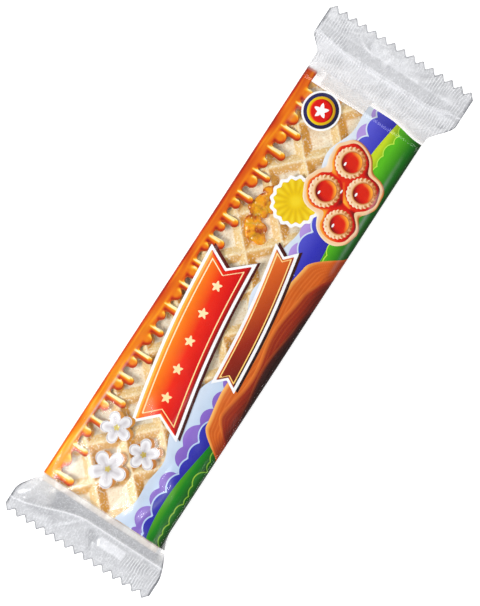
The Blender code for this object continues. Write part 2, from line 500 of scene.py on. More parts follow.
# Folds, each from one place (x, y) to another, with its height and width: in the seals
FOLDS = (
    ((-72.1, 2.9), (-78.6, 9.2), 0.30, 0.35),
    ((-73.4, -3.2), (-75.9, -4.2), 0.25, 0.40),
    ((-75.9, -4.2), (-74.8, -11.6), 0.25, 0.35),
    ((-79.4, 16.0), (-77.2, 10.4), 0.20, 0.45),
    ((-77.0, 21.5), (-71.2, 16.2), -0.30, 0.60),
    ((-78.8, -2.6), (-74.6, -1.4), -0.18, 0.70),
    ((77.5, 12.4), (74.9, 4.7), 0.32, 0.32),
    ((77.6, 22.5), (77.6, 12.4), 0.22, 0.32),
    ((75.6, -3.5), (79.4, -12.0), -0.24, 0.90),
    ((73.2, 2.5), (77.6, 0.8), 0.22, 0.60),
    ((68.6, -18.4), (69.7, -21.6), -0.55, 0.50),
    ((62.8, -12.2), (66.6, -18.2), 0.28, 0.40),
    ((63.4, 19.2), (70.2, 21.6), 0.25, 0.40),
    ((75.2, -14.5), (76.6, -21.5), 0.18, 0.60),
)
# and lengthwise over the block, each also painted as a milkier line, a painted highlight
CREASES = (
    ((-63.0, 17.0), (-25.0, 16.2), 0.16, 0.32),
    ((-44.0, -2.9), (-24.0, -2.6), 0.05, 0.25),
    ((-8.0, 12.6), (24.0, 13.6), 0.05, 0.35),
    ((20.0, -16.6), (56.0, -15.6), 0.10, 0.50),
    ((-66.0, -9.0), (-52.0, -12.5), 0.06, 0.60),
    ((46.0, 15.6), (60.0, 14.2), 0.05, 0.50),
)
# Milkier and greyer patches: x from and to, y from and to, how soft the sides are, and how much
MILKY = (
    ((-69.3, -67.3), (-19.0, 19.0), 0.15, 0.62),
    ((60.6, 65.5), (-1.0, 14.0), 0.5, 0.32),
)
GREYER = (
    ((-76.4, -73.2), (-11.6, -3.2), 0.5, -0.30),
    ((-76.2, -73.2), (-3.2, 0.8), 0.5, 0.16),
    ((-78.2, -74.0), (8.0, 20.5), 2.0, 0.14),
    ((72.0, 75.6), (-22.8, 22.0), 0.35, 0.24),
    ((74.6, 79.2), (-9.0, 8.0), 1.6, -0.20),
)


def smooth(low, high, value):
    share = np.clip((value - low) / (high - low), 0.0, 1.0)
    return share * share * (3 - 2 * share)


def mix(first, second, share):
    return first + (second - first) * share


def cut_line(end, across):
    phase = (across + HALF_SEAL) / (2 * HALF_SEAL) * TEETH
    notch = smooth(-0.12, 1.08, np.abs(2 * (phase - np.floor(phase)) - 1))  # worn round at the tips
    return end * (HALF_LENGTH - TOOTH_DEPTH * notch)


def ridge_line(end, across):
    skew = NEAR_RIDGE_SKEW * smooth(NEAR_RIDGE_TURN, HALF_SEAL, across) if end == NEAR else 0.0 * across
    return end * (HALF_LENGTH - RIDGE[end] + skew)


def to_segment(x, y, start, stop):
    """Distance to the line between two places, and the share of the way along it."""
    way = np.subtract(stop, start)
    share = np.clip(((x - start[0]) * way[0] + (y - start[1]) * way[1]) / (way @ way), 0, 1)
    return np.hypot(x - start[0] - share * way[0], y - start[1] - share * way[1]), share


def folded(x, y, folds):
    """The height of these folds at places."""
    total = np.zeros(x.shape)
    for start, stop, height, width in folds:
        distance, share = to_segment(x, y, start, stop)
        total += height * np.exp(-((distance / width) ** 2)) * np.sin(math.pi * np.clip(share, 0.1, 0.9))
    return total


def cells(x, y):
    """The wafer's lattice under the film, 0 in the middle of a diamond and 1 on a crest."""
    along = (x - CELL_PHASE[0]) / CELL_LENGTH
    over = (y - CELL_PHASE[1]) / CELL_WIDTH
    both = [np.abs(turns - np.round(turns)) * 2 for turns in (along + over, along - over)]
    return np.maximum(*both)


def fallen(x, across):
    """How far the film has fallen from the block, 0, to a seal, 1."""
    near, far = (
        np.clip((x - BLOCK_END[end]) / (ridge_line(end, across) - BLOCK_END[end]), 0, 1)
        for end in (NEAR, FAR)
    )
    return near + 1 - (1 - far) ** 2.5


def from_crest(x, across, y):
    """How far past the crest of its seal's ridge a place lies towards +X."""
    far_crest = FAR_CREST + 1.4 * smooth(8.0, 22.0, y) + 2.3 * smooth(-12.0, -23.0, y)
    return x - np.where(x < 0, ridge_line(NEAR, across), far_crest)


def seal_relief(x, across, y):
    """The ridge across each seal, folds and the lie of the film where it is pressed."""
    relief = CREST_HEIGHT * np.exp(-((from_crest(x, across, y) / CREST_WIDTH) ** 2))
    relief += 0.07 * waves(x, y, (9.0, 6.5, 13.0, 17.0), 8) + 0.035 * waves(x, y, (2.1, 2.7, 3.4), 9)
    return relief + folded(x, y, FOLDS)


def film_place(x, girth):
    """Places on the film. girth goes round the pack from the middle of its printed face towards +Y."""
    x, girth = np.broadcast_arrays(np.asarray(x, float), np.asarray(girth, float))
    face = np.where(np.abs(girth) <= HALF_SEAL, 1.0, -1.0)
    across = np.where(face > 0, girth, np.sign(girth) * (2 * HALF_SEAL - np.abs(girth)))
    flat = HALF_BODY - EDGE_RADIUS
    half_girth = flat + EDGE_RADIUS * math.pi / 2 + HALF_HEIGHT - EDGE_RADIUS
    along = np.abs(across) / HALF_SEAL * half_girth
    turn = np.clip((along - flat) / EDGE_RADIUS, 0, math.pi / 2)
    y_body = np.sign(across) * (np.minimum(along, flat) + EDGE_RADIUS * np.sin(turn))
    drop = EDGE_RADIUS * (1 - np.cos(turn)) + np.maximum(along - flat - EDGE_RADIUS * math.pi / 2, 0)
    rise = 1 - drop / HALF_HEIGHT

    spread = np.zeros(x.shape)
    for (end, side), (full, none) in FLARE.items():
        here = (np.sign(x) == end) & (np.where(across > 0, 1, -1) == side)
        spread = np.where(here, 1 - smooth(full, none, HALF_LENGTH - np.abs(x)), spread)
    offset = np.where(x < 0, SEAL_OFFSET[NEAR], SEAL_OFFSET[FAR])
    y = mix(y_body + BODY_OFFSET, across + offset, spread)

    sag = SAG_OVER_CELL * (1 - smooth(0.35, 1.0, cells(x, y)))
    slack = SLACK * (1 + waves(x, y * 2.2, (61.0, 43.0, 29.0, 23.0), 3)) / 2
    sunk = sag + slack - folded(x, y, CREASES) + FILM_INSET
    sunk = np.where(face > 0, np.maximum(sunk, 0), FILM_INSET)
    z_body = MID_HEIGHT + face * (rise * HALF_HEIGHT - smooth(0.85, 1.0, rise) * sunk)

    fall = fallen(x, across)
    past = np.zeros(x.shape)
    for end in (NEAR, FAR):
        ridge = ridge_line(end, across)
        past += np.clip((x - ridge) / (end * HALF_LENGTH - ridge), 0, 1)
    z_seal = np.where(x < 0, SEAL_RISE[NEAR], SEAL_RISE[FAR]) - SEAL_DROOP * past**2
    thin = smooth(0.0, 0.02, 0.5 - np.abs(across) / (2 * HALF_SEAL))
    z_seal += seal_relief(x, across, y) * smooth(0.35, 0.95, fall) + face * thin * SEAL_FILM / 2
    return np.stack([x, y, mix(z_body, z_seal, fall)], axis=-1)


def film_rows():
    """The mesh's columns, and x of every point of it: one row for each step along the pack."""
    across = np.linspace(-HALF_SEAL, HALF_SEAL, COLUMNS + 1)
    block = {end: np.full(across.shape, BLOCK_END[end]) for end in (NEAR, FAR)}
    near = [cut_line(NEAR, across), ridge_line(NEAR, across), block[NEAR], block[NEAR] + FINE_END]
    lines = [*near, block[FAR], ridge_line(FAR, across), cut_line(FAR, across)]
    rows = []
    for start, stop, count in zip(lines, lines[1:], ROWS):
        rows += [mix(start, stop, i / count) for i in range(count)]
    return across, np.array([*rows, lines[-1]])


def patched(x, y, patches):
    """The sum of these patches at places, each a box with soft sides."""
    total = np.zeros(x.shape)
    for x_range, y_range, soft, much in patches:
        for value, (low, high) in ((x, x_range), (y, y_range)):
            much = much * smooth(0, soft, value - low) * smooth(0, soft, high - value)
        total += much
    return total


def print_end(girth):
    """x of the print's edge at the +X end, which is askew on the -Y side and draws in towards the back."""
    askew = PRINT_FAR - PRINT_FAR_SKEW * smooth(-8.0, -18.0, girth)
    return mix(askew, BLOCK_END[FAR], smooth(19.5, 27.0, np.abs(girth)))


def film_look(x, across, y, fall, face):
    """How milky the film is, how grey that milk is and how deep its ribs are, each from 0 to 1, on the
    printed face (face 1) or on the back (face -1). Part of the milk and grey is painted light: painted shade
    on the band past the -X ridge and along the rims, painted highlights along the crests, creases and folds."""
    near = x < 0
    past = from_crest(x, across, y)
    # Painted highlight: a thin pale line along each seal's crest.
    crest = np.exp(-((past / 0.3) ** 2))
    # Painted shade: the band past the -X ridge, a milky grey sheet that stands in for its shade.
    band = smooth(0.1, 0.5, past) * smooth(-68.9, -69.3, x)
    band *= smooth(15.0, 12.0, y) * smooth(-20.5, -18.5, y)
    flared = smooth(-67.6, -69.2, x) + smooth(62.2, 63.4, x)
    # Painted shade: darker rims along the film's edges and cut lines.
    rim = smooth(0.9, 0.0, HALF_SEAL - np.abs(across)) * flared
    for end in (NEAR, FAR):
        rim = np.maximum(rim, smooth(0.5, 0.0, np.abs(cut_line(end, across) - x)))

    near_milk = SEAL_MILK[NEAR] * smooth(0.0, 0.5, fall)
    far_milk = SEAL_MILK[FAR] * smooth(0.0, 2.2, x - print_end(y))
    milk = np.where(near, near_milk, far_milk) + patched(x, y, MILKY)
    # Painted highlight: the creases over the block add milkier lines.
    milk += CLEAR_MILK + 2.0 * folded(x, y, CREASES) * (face > 0)
    milk = np.where(near, np.maximum(milk, BAND_SHADE_MILK * band), milk)
    milk = np.maximum(milk, FLARED_MILK * smooth(13.0, 16.5, np.abs(y)) * flared)
    milk += RIM_SHADE_MILK * rim + CREST_HIGHLIGHT_MILK * crest * smooth(0.9, 1.0, fall)

    cloudy = 0.03 * waves(x, y, (8.0, 5.0, 12.0), 15) + 0.04 * waves(x, y, (1.1, 1.7, 2.3), 16)
    near_grey = mix(SEAL_GREY[NEAR] + cloudy, BAND_PAINTED_SHADE, band) * smooth(-68.8, -69.3, x)
    grey = np.where(near, near_grey, SEAL_GREY[FAR] + cloudy) + patched(x, y, GREYER)
    grey += FAR_EDGE_GREY * smooth(75.4, 76.2, x) + RIM_PAINTED_SHADE * rim
    # Painted highlights on the crests and folds; folds of negative height get painted shade.
    grey -= CREST_PAINTED_HIGHLIGHT * crest + FOLD_PAINTED_LIGHT_AND_SHADE * folded(x, y, FOLDS) * smooth(0.6, 0.9, fall)

    edges = smooth(-8.0, -12.0, y) + smooth(12.0, 15.0, y)
    near_ribs = 0.12 + 0.50 * smooth(-10.5, -13.5, y) * smooth(-73.0, -74.0, x)
    far_ribs = smooth(64.3, 65.6, x) * mix(1.0, 0.1 + 0.5 * edges, smooth(71.3, 72.6, x))
    ribs = np.where(near, near_ribs, far_ribs) * (0.65 + 0.75 * waves(x, y, (7.0, 11.0, 5.0), 5))
    ribs *= smooth(0.3, 0.9, fall) * (1 - patched(x, y, (((64.0, 72.0), (2.0, 9.0), 2.0, 0.6),)))
    return np.clip(milk, 0, 0.97), np.clip(grey, 0, 1), np.clip(ribs, 0, 1)


def film_material():
    """Clear film: a mirror-like skin over nothing. Where it was pressed or crumpled it turns milky. The milk
    and grey that it reads also carry painted shade and painted highlights.
    """
    material, place = new_material("clear film")
    names = "milk", "grey", "ribs"
    milk, grey, ribs = (place.node("ShaderNodeAttribute", {"attribute_name": n}, output="Fac") for n in names)
    across = place.node("ShaderNodeSeparateXYZ", inputs={0: place}, output="Y")
    across = across + noise(place, 0.22, 2.0, (1.0, 0.6, 1)) * 1.6
    rib = (0.35 - step_up((across * (2 * math.pi / RIB_PITCH)).maths("SINE"), 0.1, 1.0)) * ribs
    patches = step_up(noise(place, 0.5, 4.0), 0.30, 0.75)
    crumple = 1.0 - abs(noise(place, 0.8, 4.0, (0.6, 1.0, 1)) - 0.5) * 2
    glints = step_up(crumple, 0.92, 0.99)
    flecks = step_up(noise(place, 2.3, 3.0), 0.54, 0.64)
    tone = grey + patches * 0.06 + rib * 0.72 - glints * 0.16 - flecks * 0.14
    tone = blend(tone, linear(240, 241, 245), linear(104, 107, 114))
    relief = bump(crumple * 0.5 + flecks * 0.15 - rib * 0.6, 0.12)
    skin = {"Roughness": 0.34, "Specular IOR Level": 0.35, "Normal": relief}
    pressed = principled(place, {"Base Color": tone, **skin})
    clear = place.node("ShaderNodeBsdfTransparent")
    share = milk * (0.92 + patches * 0.08 + glints * 0.10 - rib * 0.12)
    body = place.node("ShaderNodeMixShader", inputs={0: share, 1: clear, 2: pressed})
    sleek = bump(noise(place, 0.35, 2.0, (0.3, 1.4, 1)), 0.04)
    mirror = place.node("ShaderNodeBsdfAnisotropic", inputs={"Roughness": 0.13, "Normal": sleek})
    inner = place.node("ShaderNodeNewGeometry", output="Backfacing")
    glance = place.node("ShaderNodeFresnel", inputs={"IOR": 1.45, "Normal": sleek}) * (1.0 - inner)
    surface(place.node("ShaderNodeMixShader", inputs={0: glance, 1: body, 2: mirror}))
    return material


def paint(thing, name, values):
    """Gives each point of a piece a number that its material reads."""
    numbers = thing.data.attributes.new(name, "FLOAT", "POINT")
    numbers.data.foreach_set("value", np.asarray(values, np.float32).ravel())


def shell(name, top, back, material):
    """A closed skin of two grids of points with the same rows and columns, joined along all four edges."""
    rows, columns = top.shape[:2]
    numbers = np.arange(rows * columns).reshape(rows, columns)
    inside = np.zeros((rows, columns), bool)
    inside[:, 1:-1] = True
    back_numbers = np.where(inside, rows * columns + np.cumsum(inside).reshape(rows, columns) - 1, numbers)
    points = np.concatenate([top.reshape(-1, 3), back[inside]])
    faces = []
    for grid in (numbers, back_numbers[:, ::-1]):
        corners = (grid[:-1, :-1], grid[1:, :-1], grid[1:, 1:], grid[:-1, 1:])
        faces += np.stack(corners, axis=-1).reshape(-1, 4).tolist()
    for row, way in ((0, 1), (-1, -1)):
        a, b = numbers[row], back_numbers[row]
        for i in range(columns - 1):
            corners = list(dict.fromkeys((a[i], a[i + 1], b[i + 1], b[i])))
            faces.append(corners[::way])
    thing = mesh_object(name, points, faces, material)
    thing.data.set_sharp_from_angle(angle=math.radians(60))
    return thing, inside


across, rows = film_rows()
top = film_place(rows, across)
back = film_place(rows, np.where(across > 0, 1, -1) * (2 * HALF_SEAL - np.abs(across)))
clear_film = film_material()
film, doubled = shell("film", top, back, clear_film)
front, rear = (film_look(rows, across, top[..., 1], fallen(rows, across), face) for face in (1, -1))
for name, values, back_values in zip(("milk", "grey", "ribs"), front, rear):
    paint(film, name, np.concatenate([values.ravel(), back_values[doubled]]))
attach(film, "root")
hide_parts("film_pack")


# The back seam: where the film's two long edges were pinched, crimped and folded flat against the back.
# It is a thin ribbed strip that the pack lies on.
SEAM_FROM, SEAM_TO = -2.7, 6.9
SEAM_ENDS = -68.8, 60.3
SEAM_RIB_PITCH = 1.0
SEAM_RIB = 0.05
SEAM_COLUMNS = 15
seam_x = np.arange(*SEAM_ENDS, SEAM_RIB_PITCH / 4)[:, None]
seam_x, seam_y = np.broadcast_arrays(seam_x, np.linspace(SEAM_FROM, SEAM_TO, SEAM_COLUMNS))
seam_rib = np.sin(2 * math.pi * seam_x / SEAM_RIB_PITCH)
lower = np.stack([seam_x, seam_y + BODY_OFFSET, SEAM_RIB * (1 + seam_rib)], axis=-1)
upper = np.stack([seam_x, seam_y + BODY_OFFSET, np.full(seam_x.shape, SEAM_PROUD - 0.01)], axis=-1)
seam, doubled = shell("back_seam", upper, lower, clear_film)
frosted = 0.5 + 0.1 * waves(seam_x, seam_y, (5.0, 8.0), 41)
greyed = 0.35 + 0.1 * seam_rib
for name, values in (("milk", frosted), ("grey", greyed), ("ribs", 0 * greyed)):
    paint(seam, name, np.concatenate([values.ravel(), values[doubled]]))
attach(seam, "root")


# The inks: flat fields of colour on the film's inner side. Each is the part of a fine grid on the film
# where a rule says that there is ink, cut exactly along its edge, so it bends with the film. Inks that
# were printed later lie further from the eye, as they do on film that is printed from behind.
INK_GAP = 0.022
INK_STEP = 0.45


def inked_area(rule, x_range, girth_range, step):
    """The part of a grid where rule(x, girth) is below 0: its points, and its faces cut along the edge."""
    xs = np.arange(x_range[0], x_range[1] + step, step)
    girths = np.arange(girth_range[0], girth_range[1] + step, step)
    level = rule(*np.meshgrid(xs, girths, indexing="ij"))
    points = []
    numbers = {}

    def number(key, x, girth):
        if key not in numbers:
            numbers[key] = len(points)
            points.append((x, girth))
        return numbers[key]

    def crossing(a, b):
        a, b = min(a, b), max(a, b)
        share = min(max(level[a] / (level[a] - level[b]), 0.02), 0.98)
        return number((a, b), mix(xs[a[0]], xs[b[0]], share), mix(girths[a[1]], girths[b[1]], share))

    faces = []
    lowest = np.minimum.reduce([level[:-1, :-1], level[1:, :-1], level[:-1, 1:], level[1:, 1:]])
    for i, j in np.argwhere(lowest < 0).tolist():
        for corners in (((i, j), (i + 1, j), (i + 1, j + 1)), ((i, j), (i + 1, j + 1), (i, j + 1))):
            face = []
            for a, b in zip(corners, corners[1:] + corners[:1]):
                if level[a] < 0:
                    face.append(number(a, xs[a[0]], girths[a[1]]))
                if (level[a] < 0) != (level[b] < 0):
                    face.append(crossing(a, b))
            if len(face) > 2:
                faces.append(face)
    return np.array(points), faces


def under_film(points, depth):
    """Places at this depth inside the film, for points (x, girth) on it."""
    x, girth = points.T
    reach = 0.04
    way_x = film_place(x + reach, girth) - film_place(x - reach, girth)
    way_girth = film_place(x, girth + reach) - film_place(x, girth - reach)
    normal = np.cross(way_x, way_girth)
    normal /= np.linalg.norm(normal, axis=1, keepdims=True)
    return film_place(x, girth) - normal * depth


def ink(name, stops, direction=None, span=(0, 1)):
    """A glossy ink. Its colour follows stops along a direction, over a span, or by the piece's own shade."""
    material, place = new_material(name)
    if direction:
        way = (along(place, direction) - span[0]) / (span[1] - span[0])
    else:
        way = place.node("ShaderNodeAttribute", {"attribute_name": "shade"}, output="Fac")
    colour = ramp(way, stops)
    dots = noise(place, 5.0, 2.0)
    cloud = noise(place, 0.3, 3.0)
    colour = blend(step_up(dots, 0.5, 0.8) * 0.02, colour, linear(255, 250, 240))
    colour = blend(step_up(cloud, 0.45, 0.8) * 0.08, colour, linear(60, 30, 20))
    skin = {"Roughness": 0.42 + dots * 0.12, "Specular IOR Level": 0.08, "Normal": bump(dots, 0.015)}
    surface(principled(place, {"Base Color": colour, **skin}))
    return material


def printed(name, layer, material, rule, x_range, girth_range, shade=None, step=INK_STEP):
    """An ink's piece. shade(x, girth) gives what its material reads, from 0 in shadow to 1 in light."""

    def trimmed(x, girth):
        return np.maximum(rule(x, girth), np.maximum(PRINT_NEAR - x, x - print_end(girth)))

    area, faces = inked_area(trimmed, x_range, girth_range, step)
    piece = mesh_object(name, under_film(area, INK_GAP * layer), faces, material)
    if shade:
        paint(piece, "shade", shade(*area.T))
    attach(piece, "root")
    return piece


def embossed(rule, x, girth, reach, light):
    """Painted relief: 0.5 inside an area and on to 0 or 1 at its rim, by how the rim faces the light."""
    tiny = 0.05
    slope_x = rule(x + tiny, girth) - rule(x - tiny, girth)
    slope_girth = rule(x, girth + tiny) - rule(x, girth - tiny)
    facing = (slope_x * light[0] + slope_girth * light[1]) / np.hypot(slope_x, slope_girth).clip(1e-9)
    return 0.5 + 0.5 * facing * smooth(reach, 0.0, -rule(x, girth))


def raised(rule, reach, light, lift=0.0):
    """The shade of an area drawn as if in relief."""
    return lambda x, girth: embossed(rule, x, girth, reach, light) + lift


def melt(first, second, reach):
    """The union of two areas, its inner corners filled as a thick liquid would."""
    share = np.clip(0.5 + (second - first) / (2 * reach), 0, 1)
    return mix(second, first, share) - reach * share * (1 - share)


def grown(rule, reach):
    """An area with this much added all round it."""
    return lambda x, girth: rule(x, girth) - reach


def shifted(rule, x_shift, girth_shift):
    return lambda x, girth: rule(x - x_shift, girth - girth_shift)


def disc(x, girth, middle, radius):
    """The distance from a disc's rim, below 0 inside it."""
    return np.hypot(x - middle[0], girth - middle[1]) - radius


# The glaze band: orange caramel glaze printed along the +Y edge and round it, with drips that hang down
# into the window. It is drawn as if in relief, dark on its left rims and gleaming on its right ones.
GLAZE_EDGE = 16.1
GLAZE_BACK = 33.0
GLAZE_MELT = 1.1
FIRST_DRIP = PRINT_NEAR + 1.8
LAST_DRIP = PRINT_FAR - 4.5
# The least and the most of a drip's length, its half width and the way to the next drip
SHORT_DRIP = (0.1, 0.95, 2.6), (1.3, 1.5, 4.4)
LONG_DRIP = (2.4, 0.75, 2.8), (4.9, 1.15, 5.0)
drip_random = np.random.default_rng(21)
drips = []
drip_x = FIRST_DRIP
while drip_x < LAST_DRIP:
    length, width, gap = drip_random.uniform(*(SHORT_DRIP if len(drips) % 2 else LONG_DRIP))
    drips.append((drip_x, length, width))
    drip_x += gap


def glaze(x, girth):
    area = GLAZE_EDGE + 0.4 * np.sin(x / 9.0) + 0.2 * np.sin(x / 2.9) - girth
    for middle, length, width in drips:
        distance, share = to_segment(x, girth, (middle, GLAZE_EDGE + 1), (middle, GLAZE_EDGE - length))
        area = melt(area, distance - width * (0.8 + 0.3 * share), GLAZE_MELT)
    return np.maximum(area, girth - GLAZE_BACK)


def glaze_shade(x, girth):
    # Painted highlight: the last term makes the glaze paler towards the -X end, a painted glare.
    shade = embossed(glaze, x, girth, 0.9, (0.9, 0.42)) + 0.03 + 0.14 * smooth(-20.0, -56.0, x)
    for level, start, width in ((17.0, 0.0, 0.35), (18.3, 2.0, 0.25)):
        line = girth - level - 0.3 * np.sin(x / 5.0 + start) - 0.15 * np.sin(x / 1.9)
        shade += 0.17 * np.exp(-((line / width) ** 2)) * (0.5 + 0.5 * np.sin(x / 3.1 + start))
    shade -= 0.30 * smooth(18.3, 19.6, girth) * smooth(24.0, 20.5, girth)
    streaks = 0.5 + 0.5 * np.sin(x / 3.3 + 2.2 * np.sin(x / 7.0))
    far = smooth(-40.0, 0.0, x)
    redder = 0.08 * far + mix(0.12, 0.20, far) * smooth(16.4, 18.6, girth) * streaks
    shade -= redder * smooth(15.2, 16.2, girth)
    for middle, length, width in drips:
        line = middle + 0.35 * width
        distance, _ = to_segment(x, girth, (line, GLAZE_EDGE + 0.4), (line, GLAZE_EDGE - length + 0.5))
        shade += 0.40 * smooth(0.42, 0.12, distance) * smooth(1.0, 2.0, length)
    return np.clip(shade, 0, 1)


glaze_stops = [
    (0.00, 150, 22, 0),
    (0.22, 204, 56, 0),
    (0.45, 230, 110, 0),
    (0.62, 244, 150, 10),
    (0.80, 255, 206, 70),
    (1.00, 255, 244, 186),
]
glaze_ink = ink("glaze ink", glaze_stops)
rim_ink = ink("rim ink", [(0.0, 150, 40, 0), (1.0, 196, 84, 8)], (0, 1, 0), (8, 19))
whole = (PRINT_NEAR, PRINT_FAR)
printed("glaze_band", 6.5, glaze_ink, glaze, whole, (8.0, GLAZE_BACK + 1), glaze_shade, step=0.3)
glaze_rim = grown(shifted(glaze, -0.12, -0.1), 0.14)
printed("glaze_rim", 7.3, rim_ink, glaze_rim, whole, (8.0, 17.0), step=0.3)


# The wave field: a pale crest, rows of lilac and blue billows and a green bank, printed along the -Y edge
# and round it. It climbs towards the +X end, as a plain ornament.
BANK_BACK = -33.0
CLIMB = 5.6


def climb(x):
    """How far the field has climbed at x."""
    return CLIMB * smooth(-25.0, 55.0, x)


def crest_rule(x, girth):
    edge = -5.6 + climb(x) + 1.5 * np.sin(x / 6.1 + 0.8) + 0.6 * np.sin(x / 2.3)
    return np.maximum(girth - edge, BANK_BACK - girth)


def billows(middle, slope, radii, spacing, seed):
    """Overlapping round billows whose middles rise slope times the climb, and all that is below them."""
    random = np.random.default_rng(seed)
    places = np.arange(PRINT_NEAR - 2, PRINT_FAR + spacing, spacing)
    rounds = [(x + random.uniform(-1, 1), random.uniform(*radii)) for x in places]

    def rule(x, girth):
        area = girth - middle - slope * climb(x)
        for round_x, radius in rounds:
            height = middle + slope * float(climb(np.float64(round_x)))
            area = np.minimum(area, disc(x, girth, (round_x, height), radius))
        return np.maximum(area, BANK_BACK - girth)

    return rule


def bank_rule(x, girth):
    edge = -14.6 + 0.8 * climb(x) + 1.3 * np.sin(x / 8.3 + 2.0)
    return np.maximum(girth - edge, BANK_BACK - girth)


up = (0, 1, 0)
pale_ink = ink("pale ink", [(0.0, 176, 200, 228), (1.0, 232, 238, 246)], up, (-12, 2))
lilac_stops = [(0.0, 88, 62, 168), (0.6, 134, 100, 196), (1.0, 180, 150, 222)]
lilac_ink = ink("lilac ink", lilac_stops, up, (-15, -4))
blue_ink = ink("blue ink", [(0.0, 12, 12, 120), (0.6, 44, 44, 176), (1.0, 84, 84, 204)], up, (-18, -4))
green_stops = [(0.0, 2, 8, 2), (0.16, 2, 60, 8), (0.45, 4, 124, 14), (0.75, 96, 172, 10), (1.0, 196, 214, 30)]
green_ink = ink("green ink", green_stops, up, (-18.6, -9.5))
lime_ink = ink("lime ink", [(0.0, 30, 120, 20), (1.0, 190, 230, 70)], up, (-19, -13))
bush_ink = ink("bush ink", [(0.0, 0, 14, 0), (0.35, 8, 104, 4), (1.0, 84, 184, 20)], up, (-18.6, -12))
lower = (BANK_BACK, 6.0)
lilac_rule = billows(-12.0, 1.15, (2.9, 4.3), 6.3, 31)
blue_rule = billows(-15.2, 1.5, (2.8, 4.4), 5.8, 32)
bush_rule = billows(-19.6, 1.0, (1.6, 3.2), 3.4, 33)
for name, layer, colour, rule, step in (
    ("wave_crest", 13, pale_ink, crest_rule, INK_STEP),
    ("lilac_billows", 12, lilac_ink, lilac_rule, INK_STEP),
    ("billow_edge", 11, pale_ink, grown(blue_rule, 0.4), INK_STEP),
    ("blue_billows", 10, blue_ink, blue_rule, INK_STEP),
    ("green_bank", 9, green_ink, bank_rule, INK_STEP),
    ("bush_rims", 8.5, lime_ink, grown(bush_rule, 0.28), 0.36),
    ("bushes", 8, bush_ink, bush_rule, 0.36),
):
    printed(name, layer, colour, rule, whole, lower, step=step)


# The banners: a red ribbon with a row of small stars and a smaller plain brown one, both bowed and cut in a V
# at their ends. Each has a pale line inside its edge, a white outline and a dark shadow.
OUTLINE = 0.85
PIPING_INSET = 0.22  # of the ribbon's half width
PIPING = 0.17  # half the line's width
SHADOW_SHIFT = (0.7, -0.7)
LEFT_LIGHT = (-0.6, 0.8)
BANNER_LAYER = 2
STAR_RADIUS = 1.65


def ribbon(start, stop, half, bow, tail):
    """A bowed ribbon between two places, each end cut in a V of this depth."""
    way = np.subtract(stop, start)
    length = float(np.hypot(*way))
    way = way / length

    def rule(x, girth):
        along = (x - start[0]) * way[0] + (girth - start[1]) * way[1]
        over = (girth - start[1]) * way[0] - (x - start[0]) * way[1]
        over = over - bow * np.sin(math.pi * np.clip(along / length, -0.2, 1.2))
        ends = np.maximum(-along, along - length) + tail * (1 - np.abs(over) / half)
        return np.maximum(np.abs(over) - half, ends)

    return rule


def star_row(start, stop, bow, number, radius):
    """Five-pointed stars along the middle of a bowed line."""
    shares = 0.5 + 0.82 * ((np.arange(number) + 0.5) / number - 0.5)
    middles = mix(np.array(start), np.array(stop), shares[:, None])
    way = np.subtract(stop, start)
    normal = np.array([-way[1], way[0]]) / np.hypot(*way)
    middles = middles + normal * bow * np.sin(math.pi * shares)[:, None]

    def rule(x, girth):
        area = np.full(x.shape, 9.0)
        for middle in middles:
            angle = np.arctan2(x - middle[0], girth - middle[1])
            sector = np.abs((angle / (2 * math.pi) * 5) % 1 - 0.5) * 2
            area = np.minimum(area, disc(x, girth, middle, radius * mix(0.45, 1.0, sector**1.3)))
        return area

    return rule


def banner(name, colour, start, stop, half, bow, tail, stars):
    """The pieces of one ribbon."""
    body = ribbon(start, stop, half, bow, tail)
    outlined = grown(body, OUTLINE)
    area = [(min(a, b) - margin, max(a, b) + margin) for a, b, margin in zip(start, stop, (3, half + 4))]
    slope = (stop[1] - start[1]) / (stop[0] - start[0])

    def lit(x, girth):
        over = (girth - start[1] - slope * (x - start[0])) / half
        share = (x - start[0]) / (stop[0] - start[0]) - 0.5
        shade = 0.48 + 0.34 * over if stars else 0.5 + 0.7 * share + 0.1 * over
        return np.clip(shade + embossed(body, x, girth, 0.8, LEFT_LIGHT) - 0.5, 0, 1)

    def piping(x, girth):
        return np.abs(body(x, girth) + PIPING_INSET * half) - PIPING

    printed(name, BANNER_LAYER + 1.2, colour, body, *area, lit, step=0.33)
    printed(name + "_piping", BANNER_LAYER, cream_ink, piping, *area, step=0.25)
    printed(name + "_outline", BANNER_LAYER + 2.4, white_ink, outlined, *area, step=0.33)
    shadow = shifted(outlined, *SHADOW_SHIFT)
    printed(name + "_shadow", BANNER_LAYER + 3.6, dark_ink, shadow, *area, step=0.33)
    if stars:
        row = star_row(start, stop, bow, stars, STAR_RADIUS)
        printed(name + "_stars", BANNER_LAYER, cream_ink, row, *area, step=0.22)


red_stops = [(0.0, 140, 0, 0), (0.3, 214, 0, 0), (0.52, 236, 34, 0), (0.78, 250, 124, 8), (1.0, 255, 190, 70)]
red_ink = ink("red ink", red_stops)
dark_ink = ink("dark ink", [(0.0, 40, 8, 6), (1.0, 96, 20, 10)], up, (-12, 14))
white_ink = ink("white ink", [(0.0, 244, 244, 246), (1.0, 255, 255, 255)], up, (-12, 14))
cream_ink = ink("cream ink", [(0.0, 255, 206, 110), (1.0, 255, 240, 196)], up, (-10, 12))
brown_ink = ink("brown ink", [(0.0, 70, 8, 4), (0.35, 150, 34, 8), (0.8, 218, 96, 24), (1.0, 240, 150, 70)])
banner("banner", red_ink, (-41.0, 0.0), (8.5, 7.8), half=6.1, bow=1.2, tail=4.0, stars=5)
banner("lower_banner", brown_ink, (-21.0, -9.6), (17.5, -3.9), half=2.7, bow=-0.8, tail=2.0, stars=0)


